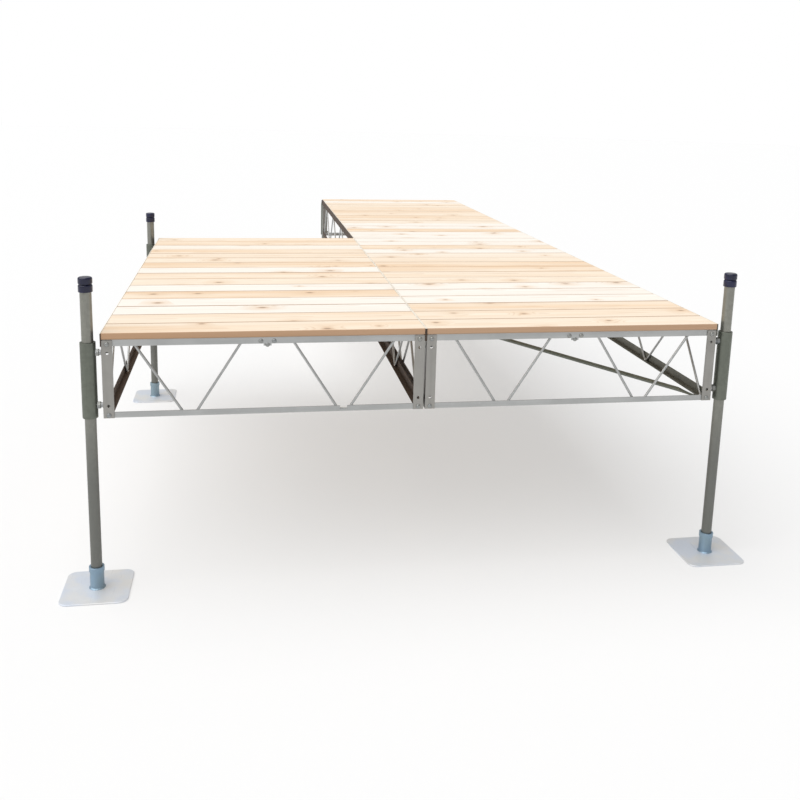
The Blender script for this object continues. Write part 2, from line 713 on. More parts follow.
def bent_rod_rule():
    """Round rod along the edges of a mesh, bent at each corner."""
    rule = Rule("bent_rod", {"Radius": "Float", "Bend": "Float", "Sides": "Int"})
    path = rule.node("GeometryNodeMeshToCurve", None, {"Mesh": rule.given("Geometry")})
    bend = {"Curve": path, "Radius": rule.given("Bend"), "Count": 6, "Limit Radius": True}
    path = rule.node("GeometryNodeFilletCurve", {"mode": "POLY"}, bend)
    size = {"Resolution": rule.given("Sides"), "Radius": rule.given("Radius")}
    ring = rule.node("GeometryNodeCurvePrimitiveCircle", None, size)
    inputs = {"Curve": path, "Profile Curve": ring, "Fill Caps": True}
    rod = rule.node("GeometryNodeCurveToMesh", None, inputs)
    return rule.end(rule.node("GeometryNodeSetShadeSmooth", None, {"Geometry": rod}))


def set_out_rule():
    """Copies of one fitting on the points of a mesh, each turned by the point's own turn."""
    rule = Rule("set_out", {"Fitting": "Object"})
    settings = {"data_type": "FLOAT_VECTOR"}
    turn = rule.node("GeometryNodeInputNamedAttribute", settings, {"Name": "turn"})
    turn = rule.node("FunctionNodeEulerToRotation", None, {"Euler": turn})
    inputs = {"Points": rule.given("Geometry"), "Instance": rule.shape_of("Fitting"), "Rotation": turn}
    return rule.end(rule.node("GeometryNodeInstanceOnPoints", None, inputs))


def follow_rule(rule, source, material, **values):
    """Runs a rule on a mesh and gives the result as a plain mesh."""
    holder = add_object("holder", source)
    modifier = holder.modifiers.new("rule", "NODES")
    modifier.node_group = rule
    values = {key.replace("_", " "): value for key, value in values.items()}
    values["Material"] = material
    for item in rule.interface.items_tree:
        if item.in_out == "INPUT" and item.name in values:
            modifier[item.identifier] = values[item.name]
    found = holder.evaluated_get(bpy.context.evaluated_depsgraph_get())
    mesh = bpy.data.meshes.new_from_object(found)
    mesh.set_sharp_from_angle(angle=SMOOTH_LIMIT)
    if not mesh.polygons:
        raise RuntimeError(f"the rule {rule.name} made nothing")
    bpy.data.objects.remove(holder)
    return mesh


def bend_rods(rods, diameter, bend, material):
    """Round rods through lists of points."""
    path = bpy.data.meshes.new("rod_path")
    points, edges = [], []
    for rod in rods:
        edges += [(len(points) + i, len(points) + i + 1) for i in range(len(rod) - 1)]
        points += rod
    path.from_pydata(points, edges, [])
    return follow_rule(bent_rod_rule(), path, material, Radius=diameter / 2, Bend=bend, Sides=14)


def set_out(fitting, spots, material):
    """Copies of a fitting's mesh at spots: a place, where its top faces and where its X points."""
    points = bpy.data.meshes.new("spots")
    points.from_pydata([spot[0] for spot in spots], [], [])
    turns = points.attributes.new("turn", "FLOAT_VECTOR", "POINT")
    for i, (_, facing, along) in enumerate(spots):
        turns.data[i].vector = Matrix((along, facing.cross(along), facing)).transposed().to_euler()
    template = add_object("fitting", fitting)
    mesh = follow_rule(set_out_rule(), points, material, Fitting=template)
    bpy.data.objects.remove(template)
    return mesh


# ---- Places -----------------------------------------------------------------------


def joint_gap():
    """Gap between the posts of two neighbouring sections."""
    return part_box("near_right_corner_posts")[0].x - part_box("near_left_corner_posts")[1].x


def deck_top():
    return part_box("near_left_deck_boards")[1].z


class Edge:
    """Edge of a section: its matrix, and half its length between the posts' outer faces."""

    def __init__(self, section, side):
        low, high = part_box(section + "_corner_posts")
        middle, half = (low + high) / 2, (high - low) / 2
        quarter = EDGES[side]
        self.half, depth = (half.x, half.y) if quarter % 2 == 0 else (half.y, half.x)
        turn = Matrix.Rotation(math.radians(90 * quarter), 4, "Z")
        centre = Matrix.Translation((middle.x, middle.y, 0))
        self.matrix = centre @ turn @ Matrix.Translation((0, -depth, 0))

    def at(self, x, y, z):
        return self.matrix @ Vector((x, y, z))

    def facing(self, x, y, z):
        return self.matrix.to_3x3() @ Vector((x, y, z))


class Leg:
    """Leg: x points towards its section, and y away from the section's middle."""

    def __init__(self, name):
        low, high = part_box(name + "_pipe")
        sleeve_low, sleeve_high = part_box(name + "_sleeve")
        section_low, section_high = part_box(LEGS[name] + "_corner_posts")
        self.centre = (low + high) / 2
        self.centre.z = 0
        self.pipe_r = (high.x - low.x) / 2
        self.towards = self._flat((sleeve_low + sleeve_high) / 2 - self.centre)
        out = self.centre - (section_low + section_high) / 2
        self.outward = self._flat(out - self.towards * out.dot(self.towards))
        # The sleeve is round across the leg, and runs on to the post's face in the spacers
        self.sleeve_r = abs((sleeve_high - sleeve_low).dot(self.outward)) / 2
        self.reach = abs((sleeve_high - sleeve_low).dot(self.towards)) - self.sleeve_r

    @staticmethod
    def _flat(direction):
        return Vector((direction.x, direction.y, 0)).normalized()

    def bore(self, look):
        """Inner radius of the sleeve and of the foot's socket."""
        return self.pipe_r + look.slide_gap

    def at(self, x, y, z):
        return self.centre + self.towards * x + self.outward * y + Vector((0, 0, z))

    def upright(self):
        return Matrix.Translation(self.centre)


def bolt_heights(look):
    """Heights of the two bolt holes of a post."""
    upper = deck_top() - look.hole_drop
    return upper, upper - look.hole_pitch


# ---- Deck -------------------------------------------------------------------------


def board_pitch(look, low, high):
    """Distance from one board to the next in a deck's box."""
    return (high.y - low.y + look.board_gap) / look.board_count


class JETTY_OT_deck_boards(Operator):
    """Timber boards across each section"""

    bl_idname = "jetty.deck_boards"
    bl_label = "Deck Boards"

    def execute(self, context):
        look = context.scene.jetty_timber
        rule = board_row_rule()
        low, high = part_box(SECTIONS[0] + "_deck_boards")
        pitch, thick = board_pitch(look, low, high), high.z - low.z
        half_l, half_w = (high.x - low.x) / 2, (pitch - look.board_gap) / 2
        material = planed_timber(look, half_w, thick)
        for number, section in enumerate(SECTIONS):
            node = section + "_deck_boards"
            low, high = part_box(node)
            shape = Shape()
            shape.bar(strip_outline((-half_w, -thick), (half_w, 0), look.edge_r), -half_l, half_l)
            board = add_object("board", shape.mesh("board"))
            start = bpy.data.meshes.new("start")
            row = follow_rule(
                rule, start, material, Board=board, Boards=look.board_count, Pitch=pitch,
                Narrowing=look.narrowing, Sink=look.sink, Seed=look.seed + 10 * number,
            )
            row.transform(Matrix.Translation(((low.x + high.x) / 2, low.y + half_w, high.z)))
            bpy.data.objects.remove(board)
            add_piece(section + "_boards", row, "cedar_boards", node)
        return {"FINISHED"}


class JETTY_OT_deck_screws(Operator):
    """Two screws at each end and in the middle of each board"""

    bl_idname = "jetty.deck_screws"
    bl_label = "Deck Screws"

    def execute(self, context):
        look = context.scene.jetty_timber
        material = bright_zinc("screw_coating", look.screw, 0.5, 0.3)
        r, rim = look.screw_d / 2, look.screw_d * 0.175
        # From the cone below the wood up over the head, and down into its recess
        profile = [(r * 0.75, -2 * MM), (r, -0.4 * MM), (r * 0.97, 0), (r * 0.45, 0.2 * MM)]
        profile += [(rim, 0), (rim * 0.8, -1.2 * MM)]
        sunk = 0.8 * MM
        across = (0.22, 0.72)
        up, along = Vector((0, 0, 1)), Vector((1, 0, 0))
        head = Shape()
        head.domed(profile, sides=10)
        head = head.mesh("screw_head")
        for section in SECTIONS:
            low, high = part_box(section + "_deck_boards")
            pitch = board_pitch(look, low, high)
            columns = (low.x + look.screw_inset, (low.x + high.x) / 2, high.x - look.screw_inset)
            boards = range(look.board_count)
            rows = [low.y + (board + share) * pitch for board in boards for share in across]
            spots = [((x, y, high.z - sunk), up, along) for y in rows for x in columns]
            add_piece(section + "_deck_screws", set_out(head, spots, material), "zinc_foot")
        return {"FINISHED"}


class JETTY_OT_bearers(Operator):
    """Channel under the middle of each section's boards"""

    bl_idname = "jetty.bearers"
    bl_label = "Bearers"

    def execute(self, context):
        look = context.scene.jetty_frame
        material = mill_aluminium("bearer_aluminium", look.chord, (0, 1, 0), 0.06)
        for section in SECTIONS:
            node = section + "_bearer"
            low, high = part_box(node)
            half_w, half_l, t = (high.x - low.x) / 2, (high.y - low.y) / 2, look.angle_t
            points = [
                (-half_w, low.z), (-half_w, high.z), (half_w, high.z), (half_w, low.z),
                (half_w - t, low.z), (half_w - t, high.z - t),
                (t - half_w, high.z - t), (t - half_w, low.z),
            ]
            toe = t * 0.3
            outline = round_corners(points, [toe, t * 0.35, t * 0.35, toe, toe, t * 0.7, t * 0.7, toe], 2)
            centre = Matrix.Translation(((low.x + high.x) / 2, (low.y + high.y) / 2, 0))
            shape = Shape()
            shape.bar(outline, -half_l, half_l, centre @ Matrix.Rotation(math.radians(90), 4, "Z"))
            add_piece(section + "_bearer_channel", shape.mesh(node, material), "frame_aluminium", node)
        return {"FINISHED"}


# ---- Truss frame ------------------------------------------------------------------


def weld_bead():
    """Short rippled weld along X, with its flat side down."""
    shape = Shape()
    half_l, half_w, rise = 11 * MM, 3.0 * MM, 2.4 * MM
    ripples, ripple, facets, blunt_end = 9, 0.12, 6, 0.04
    arc = [math.pi * k / facets for k in range(facets + 1)]
    rings = []
    for i in range(ripples):
        x = -1 + 2 * i / (ripples - 1)
        swell = math.sqrt(max(1 - x * x, blunt_end)) * (1 + ripple * (-1) ** i)
        rings.append([(x * half_l, half_w * swell * math.cos(a), rise * swell * math.sin(a)) for a in arc])
    shape.loft(rings, True)
    return shape.mesh("weld_bead")


def weld_spots(edge, rods, rod_r):
    """Welds on both sides of each stretch of rod that lies flat on a chord."""
    spots = []
    along = edge.facing(1, 0, 0)
    bottom = min(point[2] for rod in rods for point in rod)
    # A bead lies in the groove between rod and chord
    reach = rod_r * 0.75
    for rod in rods:
        for first, second in zip(rod, rod[1:]):
            if abs(first[2] - second[2]) > MM:
                continue
            x, y = (first[0] + second[0]) / 2, first[1]
            chord = -1 if first[2] - bottom < MM else 1
            for side in (-1, 1):
                facing = edge.facing(0, side, -chord).normalized()
                spots.append((edge.at(x, y + side * reach, first[2] + chord * reach), facing, along))
    return spots


def welded_rods(edge, rods, diameter, bend, metal):
    """Bent rods of an edge, and the welds that hold them."""
    welds = set_out(weld_bead(), weld_spots(edge, rods, diameter / 2), metal)
    paths = [[edge.at(*point) for point in rod] for rod in rods]
    return [bend_rods(paths, diameter, bend, metal), welds]


class JETTY_OT_end_trusses(Operator):
    """Trusses across the two ends of each section"""

    bl_idname = "jetty.end_trusses"
    bl_label = "End Trusses"

    # How far a rod sinks into the chords that it is welded to
    bite = 0.3 * MM

    def rods(self, look, edge, low, high):
        """One V at each side of the middle, with a flat bottom."""
        cell = 2 * edge.half + joint_gap()
        inset = look.angle_t + look.rod_d / 2 - self.bite
        top, bottom = high.z - inset, low.z + inset
        shares = [(look.end_top[0], top), (look.end_bottom[0], bottom),
                  (look.end_bottom[1], bottom), (look.end_top[1], top)]
        y = look.post_t + inset
        return [[(side * (share - 0.5) * cell, y, z) for share, z in shares] for side in (1, -1)]

    def execute(self, context):
        look = context.scene.jetty_frame
        chord_metal = mill_aluminium("end_chord_aluminium", look.chord, (1, 0, 0))
        rod_metal = rolled_rod("rod_aluminium", look.chord)
        t = look.angle_t
        for section in SECTIONS:
            for side in ("front", "back"):
                node = f"{section}_{side}_truss"
                low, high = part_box(node)
                edge = Edge(section, side)
                run = edge.half - look.post_t
                bars = Shape()
                upper = angle_outline((look.post_t, high.z), look.flange_w, -look.top_chord_h, t)
                bars.bar(upper, -run, run, edge.matrix)
                lower = angle_outline((look.post_t, low.z), look.flange_w, look.end_chord_h, t)
                if (section, side) == ("near_left", "front"):
                    self.notched_bar(bars, look, edge, lower, low.z, run)
                else:
                    bars.bar(lower, -run, run, edge.matrix)
                clip_leg = t - look.top_chord_h - look.clip_drop
                clip = angle_outline((look.post_t + t, high.z - t), look.clip_reach, clip_leg, t)
                bars.bar(clip, -look.clip_w / 2, look.clip_w / 2, edge.matrix)
                rods = self.rods(look, edge, low, high)
                parts = [bars.mesh(node + "_bars", chord_metal)]
                parts += welded_rods(edge, rods, look.rod_d, look.end_bend_r, rod_metal)
                add_piece(node + "_welded", join_meshes(node, parts), "frame_aluminium", node)
        return {"FINISHED"}

    def notched_bar(self, bars, look, edge, outline, bottom, run):
        """Bottom chord with a notch in its upright leg, over the flat of the right-hand V."""
        cell = 2 * edge.half + joint_gap()
        middle = cell * (0.5 - (look.end_bottom[0] + look.end_bottom[1]) / 2)
        floor = bottom + look.end_chord_h - look.notch_h
        cut = [(y, min(z, floor)) for y, z in outline]
        start, end = middle - look.notch_w / 2, middle + look.notch_w / 2
        rings = ((-run, outline), (start, outline), (start, cut),
                 (end, cut), (end, outline), (run, outline))
        bars.loft([[edge.at(x, p[0], p[1]) for p in ring] for x, ring in rings], True)


class JETTY_OT_side_trusses(Operator):
    """Chords and bent rods along the two sides of each section"""

    bl_idname = "jetty.side_trusses"
    bl_label = "Side Trusses"

    def rod(self, look, edge, top, bottom):
        """One zig-zag from post to post, with a flat at each bend."""
        y = look.post_t + look.angle_t + look.rod_d / 2
        limit = edge.half - look.post_w - look.side_flat / 2
        points = []
        for bend in range(look.side_bays + 1):
            x = (bend - look.side_bays / 2) * look.side_bay
            x = max(-limit, min(limit, x))
            z = bottom if bend % 2 == 0 else top
            ends = [-1, 1]
            if bend == 0:
                ends = [0, 1]
            if bend == look.side_bays:
                ends = [-1, 0]
            points += [(x + end * look.side_flat / 2, y, z) for end in ends]
        return points

    def add_chords(self, bars, look, edge, lip, low, high):
        """Top chord with its lip, and bottom chord, each a thin upright and a flange."""
        t, toe = look.angle_t, look.angle_t * 0.3
        seat = high.z - look.board_t
        lip_half = (high.y - low.y) / 2
        run = edge.half - look.post_t
        flange_half = run - look.flange_w
        # A flange starts inside its upright
        root = t * 0.6
        for corner, far_corner, half in (
            ((lip, seat - look.top_chord_h), (lip + t, high.z), lip_half),
            ((lip + root, seat - t), (lip + t + look.flange_w, seat), flange_half),
            ((look.post_t, low.z), (look.post_t + t, low.z + look.side_chord_h), run),
            ((look.post_t + root, low.z), (look.post_t + look.flange_w, low.z + t), flange_half),
        ):
            bars.bar(strip_outline(corner, far_corner, toe), -half, half, edge.matrix)

    def execute(self, context):
        look = context.scene.jetty_frame
        run, worn, lip_z = (0, 1, 0), look.worn[:], deck_top()
        stained = mill_aluminium("stained_aluminium", look.side_chord, run, 0.38, worn, lip_z, 0.10, 0.2)
        bare = mill_aluminium("bare_aluminium", look.bare_chord, run, 0.20, worn, lip_z, 0.45)
        rod_metal = rolled_rod("side_rod_aluminium", look.chord)
        for section in SECTIONS:
            node = section + "_side_chords"
            low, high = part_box(node)
            lip = low.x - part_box(section + "_corner_posts")[0].x
            top = high.z - look.board_t - look.angle_t - look.rod_d / 2
            bottom = low.z + look.angle_t + look.rod_d / 2
            chords = []
            for side in ("left", "right"):
                edge = Edge(section, side)
                bars = Shape()
                self.add_chords(bars, look, edge, lip, low, high)
                outer = side == "right" and section.endswith("right")
                chords.append(bars.mesh(node, bare if outer else stained))
                rod = self.rod(look, edge, top, bottom)
                parts = welded_rods(edge, [rod], look.rod_d, look.side_bend_r, rod_metal)
                web = f"{section}_{side}_web"
                add_piece(web + "_rod", join_meshes(web, parts), "frame_aluminium", web)
            add_piece(node + "_bars", join_meshes(node, chords), "side_aluminium", node)
        return {"FINISHED"}


class JETTY_OT_corner_posts(Operator):
    """Drilled angle posts at the corners of each section"""

    bl_idname = "jetty.corner_posts"
    bl_label = "Corner Posts"

    def drilled_post(self, look, low, high):
        """One post with its outer corner at the origin and its legs along X and Y."""
        shape = Shape()
        shape.plate(angle_outline((0, 0), look.post_w, look.post_w, look.post_t), low, high)
        post = add_object("post", shape.mesh("post"))
        drills = Shape()
        r, reach = look.hole_d / 2, 3 * look.post_t
        profile = [(r, -reach), (r, reach)]
        for z in bolt_heights(look):
            for quarter, axis in ((-90, "X"), (90, "Y")):
                spot = (look.post_w / 2, 0, z) if axis == "X" else (0, look.post_w / 2, z)
                turn = Matrix.Rotation(math.radians(quarter), 4, axis)
                drills.domed(profile, Matrix.Translation(spot) @ turn, 24)
        drills = add_object("drills", drills.mesh("drills"))
        cut = post.modifiers.new("drill", "BOOLEAN")
        cut.object = drills
        cut.operation = "DIFFERENCE"
        cut.solver = "EXACT"
        found = post.evaluated_get(bpy.context.evaluated_depsgraph_get())
        mesh = bpy.data.meshes.new_from_object(found)
        bpy.data.objects.remove(post)
        bpy.data.objects.remove(drills)
        return mesh

    def execute(self, context):
        look = context.scene.jetty_frame
        metal = mill_aluminium("post_aluminium_finish", look.post, (0, 0, 1), 0.06)
        low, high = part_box("near_left_corner_posts")
        post = self.drilled_post(look, low.z, high.z)
        post.materials.clear()
        post.materials.append(metal)
        for section in SECTIONS:
            node = section + "_corner_posts"
            low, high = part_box(node)
            corners = ((low.x, low.y), (high.x, low.y), (high.x, high.y), (low.x, high.y))
            copies = []
            for quarter, (x, y) in enumerate(corners):
                copy = post.copy()
                turn = Matrix.Rotation(math.radians(90 * quarter), 4, "Z")
                copy.transform(Matrix.Translation((x, y, 0)) @ turn)
                copies.append(copy)
            mesh = join_meshes(node, copies)
            mesh.set_sharp_from_angle(angle=SMOOTH_LIMIT)
            add_piece(section + "_posts", mesh, "post_aluminium", node)
        return {"FINISHED"}


class JETTY_OT_braces(Operator):
    """Round brace aslant under the two right-hand sections"""

    bl_idname = "jetty.braces"
    bl_label = "Braces"

    def execute(self, context):
        legs = context.scene.jetty_legs
        look = context.scene.jetty_frame
        metal = galvanised("brace_steel", shade(legs.sleeve, 1.1), 0.05)
        for section in BRACED_SECTIONS:
            node = section + "_brace"
            low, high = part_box(node)
            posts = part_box(section + "_corner_posts")
            r, z = (high.z - low.z) / 2, (low.z + high.z) / 2
            first = Vector((posts[1].x - look.post_w, posts[0].y + look.post_w, z))
            last = Vector((posts[0].x + look.post_w, high.y - r * 0.5, z))
            run = last - first
            place = Matrix.Translation(first) @ run.to_track_quat("X", "Z").to_matrix().to_4x4()
            # Round for most of its length, hammered flat, wide and low at both ends
            flat, taper, total = 34 * MM, 60 * MM, run.length
            thinned, widened, lowered = 0.74 * r, 0.30 * r, 0.70 * r
            rings = []
            for x, flatness in (
                (0, 1), (flat, 1), (flat + taper, 0),
                (total - flat - taper, 0), (total - flat, 1), (total, 1),
            ):
                wide_r, high_r = r + widened * flatness, r - thinned * flatness
                sink = lowered * flatness
                rings.append([place @ Vector((x, wide_r * c, high_r * s - sink)) for c, s in around(24)])
            shape = Shape()
            shape.loft(rings, True)
            add_piece(section + "_brace_bar", shape.mesh(node, metal), "galvanised_pipe", node)
        return {"FINISHED"}


# ---- Legs -------------------------------------------------------------------------


def tube_profile(inner, outer, low, high, edge):
    """Closed profile of a tube's wall, with rounded rims."""
    return round_corners([(inner, low), (outer, low), (outer, high), (inner, high)], edge, 3)


class JETTY_OT_pipes(Operator):
    """Leg pipes"""

    bl_idname = "jetty.pipes"
    bl_label = "Pipes"

    def execute(self, context):
        look = context.scene.jetty_legs
        frame_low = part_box("near_left_corner_posts")[0].z
        metal = galvanised("galvanised_pipe_finish", look.pipe, 0.04, look.stain[:], frame_low)
        for name in LEGS:
            node = name + "_pipe"
            low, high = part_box(node)
            leg = Leg(name)
            # A pipe stops a hair below the inside of its cap
            top = high.z - 0.3 * MM
            shape = Shape()
            wall = tube_profile(leg.pipe_r - look.pipe_wall, leg.pipe_r, low.z, top, 0.8 * MM)
            shape.turned(wall, leg.upright(), 48)
            add_piece(name + "_tube", shape.mesh(node, metal), "galvanised_pipe", node)
        return {"FINISHED"}


class JETTY_OT_sleeves(Operator):
    """Sleeves that hold the pipes, with the spacers to the posts"""

    bl_idname = "jetty.sleeves"
    bl_label = "Sleeves"

    def execute(self, context):
        look = context.scene.jetty_legs
        metal = galvanised("galvanised_sleeve_finish", look.sleeve, 0.06)
        zinc = bright_zinc("spacer_zinc", shade(look.zinc, 0.60), 0.34, 0.6)
        for name in LEGS:
            node = name + "_sleeve"
            leg = Leg(name)
            low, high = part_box(node)
            tube = Shape()
            wall = tube_profile(leg.bore(look), leg.sleeve_r, low.z, high.z, 1.2 * MM)
            tube.turned(wall, leg.upright(), 48)
            spacers = Shape()
            turn = leg.towards.to_track_quat("Z", "Y").to_matrix().to_4x4()
            r, ease = look.spacer_d / 2, 0.8 * MM
            start, end = leg.sleeve_r - 2 * MM, leg.reach
            for z in bolt_heights(context.scene.jetty_frame):
                place = Matrix.Translation(leg.at(0, 0, z)) @ turn
                spacers.domed([(r, start), (r, end - ease), (r - ease, end)], place, 28)
            mesh = join_meshes(node, [tube.mesh(node, metal), spacers.mesh("spacers", zinc)])
            add_piece(name + "_sleeve_tube", mesh, "galvanised_sleeve", node)
        return {"FINISHED"}


class JETTY_OT_feet(Operator):
    """Square foot plates with welded sockets"""

    bl_idname = "jetty.feet"
    bl_label = "Feet"

    def execute(self, context):
        look = context.scene.jetty_legs
        plate_metal = bright_zinc("bright_zinc_finish", look.zinc, 0.42, 0.35)
        socket_metal = bright_zinc("blue_zinc_finish", look.socket, 0.34, 0.6)
        for name in LEGS:
            node = name + "_foot"
            low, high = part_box(node)
            leg = Leg(name)
            half, top = (high.x - low.x) / 2, low.z + look.plate_t
            r, neck = look.socket_d / 2, high.z - look.collar_h
            body_r, bore = r - look.collar_step, leg.bore(look)
            socket = round_corners(
                [(bore, top), (body_r, top), (body_r, neck), (r, neck), (r, high.z), (bore, high.z)],
                [0, 0, 0.3 * MM, 0.5 * MM, 1.5 * MM, 1 * MM],
            )
            shape = Shape()
            shape.turned(socket, leg.upright(), 48)
            parts = [
                self.plate(look, leg, half, low.z, top).mesh(node, plate_metal),
                shape.mesh("socket", socket_metal),
                self.weld(look, leg, body_r, top).mesh("socket_weld", socket_metal),
            ]
            add_piece(name + "_foot_plate", join_meshes(node, parts), "zinc_foot", node)
        return {"FINISHED"}

    def plate(self, look, leg, half, low, top):
        """Square plate with round corners and eased edges."""
        edge = 1.2 * MM
        rings = []
        for inset, z in ((edge, low), (0, low + edge), (0, top - edge), (edge, top)):
            side = half - inset
            corners = [(-side, -side), (side, -side), (side, side), (-side, side)]
            outline = round_corners(corners, look.plate_corner - inset, 10)
            rings.append([leg.upright() @ Vector((p[0], p[1], z)) for p in outline])
        shape = Shape()
        shape.loft(rings, True)
        return shape

    def weld(self, look, leg, r, top):
        """Rippled fillet weld round the root of the socket."""
        steps, ripple, facets, hollow = 72, 0.08, 7, 0.22
        rings = []
        for i, (c, s) in enumerate(around(steps)):
            # One ripple is four steps long
            swell = look.weld * (0.95 + ripple * math.cos(i * math.pi / 2))
            ring = [(r - 0.8 * MM, top - 0.4 * MM)]
            for k in range(facets):
                a = math.pi / 2 * k / (facets - 1)
                size = swell * (1 - hollow * math.sin(2 * a))
                ring.append((r + size * math.cos(a), top + size * math.sin(a)))
            rings.append([leg.upright() @ Vector((x * c, x * s, z)) for x, z in ring])
        shape = Shape()
        shape.loft(rings, False)
        return shape


class JETTY_OT_caps(Operator):
    """Push-on caps in rounded tiers"""

    bl_idname = "jetty.caps"
    bl_label = "Caps"

    def execute(self, context):
        look = context.scene.jetty_legs
        plastic = cap_plastic(look)
        for name in LEGS:
            node = name + "_cap"
            leg = Leg(name)
            low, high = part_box(node)
            r, bore = (high.x - low.x) / 2, leg.pipe_r + look.cap_wall
            height, inside = high.z - low.z, high.z - look.cap_crown
            # The turned profile closes on the axis
            axis, rim = 0.05 * MM, 1 * MM
            two_tiers = height > 1.5 * r
            if two_tiers:
                groove = low.z + height / 2
                waist = r - look.cap_groove * 0.55
                low_tier = round_corners([(bore, low.z), (r, low.z), (r, groove), (waist, groove)],
                                         [rim, rim, look.cap_groove, 0], 5)
                top_tier = round_corners([(waist, groove), (r, groove), (r, high.z), (axis, high.z)],
                                         [0, look.cap_groove, look.cap_top_r, 0], 5)
                profile = low_tier + top_tier[1:] + [Vector((axis, inside)), Vector((bore, inside))]
            else:
                corners = [(bore, low.z), (r, low.z), (r, high.z)]
                corners += [(axis, high.z), (axis, inside), (bore, inside)]
                profile = round_corners(corners, [rim, rim, look.cap_top_r, 0, 0, rim], 5)
            shape = Shape()
            shape.turned(profile, leg.upright(), 48)
            add_piece(name + "_push_cap", shape.mesh(node, plastic), "dark_cap", node)
        return {"FINISHED"}


# ---- Fasteners --------------------------------------------------------------------


def add_washer(shape, r, thick, low=0.0):
    """Washer with an eased edge; gives the height of its top."""
    shape.domed([(r, low), (r, low + thick * 0.8), (r * 0.96, low + thick)], sides=24)
    return low + thick


def add_hexagon(shape, across, low, tall, turn=0.0):
    """Hexagon with both rims chamfered; gives the height of its top."""
    r, ease = across / 2 / math.cos(math.pi / 6), across * 0.035
    narrow, top = r * 0.93, low + tall
    rings = ((narrow, low), (r, low + ease), (r, top - ease), (narrow, top))
    shape.loft([[(wide * c, wide * s, z) for c, s in around(6, turn)] for wide, z in rings], True)
    return top


def hex_bolt_head(across=15 * MM):
    """Hexagon head on a washer."""
    shape = Shape()
    low = add_washer(shape, across * 0.67, 1.6 * MM)
    add_hexagon(shape, across, low, across * 0.42)
    return shape.mesh("hex_bolt_head")


def nut_on_thread(across=15 * MM, thread=14 * MM):
    """Washer and nut, with the bolt's threaded end standing out of it."""
    shape = Shape()
    low = add_washer(shape, 10 * MM, 1.6 * MM)
    top = add_hexagon(shape, across, low, 8 * MM, 0.3)
    crest, root, pitch = 4.9 * MM, 4.3 * MM, 1.5 * MM
    profile = [(root, top - MM)]
    for turn in range(int(thread / pitch)):
        profile += [(crest, top + (turn + 0.5) * pitch), (root, top + (turn + 1) * pitch)]
    shape.domed(profile, sides=14)
    return shape.mesh("nut_on_thread")


def sleeve_nut(across, room):
    """Large nut that bites into the sleeve, and a washer where the spacer meets the post."""
    shape = Shape()
    bite, thin, thick = 2 * MM, 1.6 * MM, 2.4 * MM
    top = add_hexagon(shape, across, -bite, room * 0.5 + bite, 0.25)
    add_washer(shape, across * 0.44, thin, top)
    add_washer(shape, across * 0.46, thick, room - thick)
    return shape.mesh("sleeve_nut")


def round_bolt_head():
    """Low domed head."""
    shape = Shape()
    r, rise, rim, steps = 9 * MM, 5 * MM, 0.8 * MM, 5
    arc = [math.pi / 2 * k / steps for k in range(steps)]
    profile = [(r, 0)] + [(r * math.cos(a), rim + rise * math.sin(a)) for a in arc]
    shape.domed(profile + [(r * 0.12, rim + rise)], sides=20)
    return shape.mesh("round_bolt_head")


def set_screw():
    """Boss welded on the sleeve, with a hexagon-headed screw in it."""
    shape = Shape()
    ease, head_low = 1 * MM, 8 * MM
    for r, low, high, sides in ((8.5 * MM, -3 * MM, 5 * MM, 20), (4.5 * MM, 4 * MM, 10 * MM, 14)):
        shape.domed([(r, low), (r, high - ease), (r - ease, high)], sides=sides)
    add_hexagon(shape, 12 * MM, head_low, 6 * MM)
    return shape.mesh("set_screw")


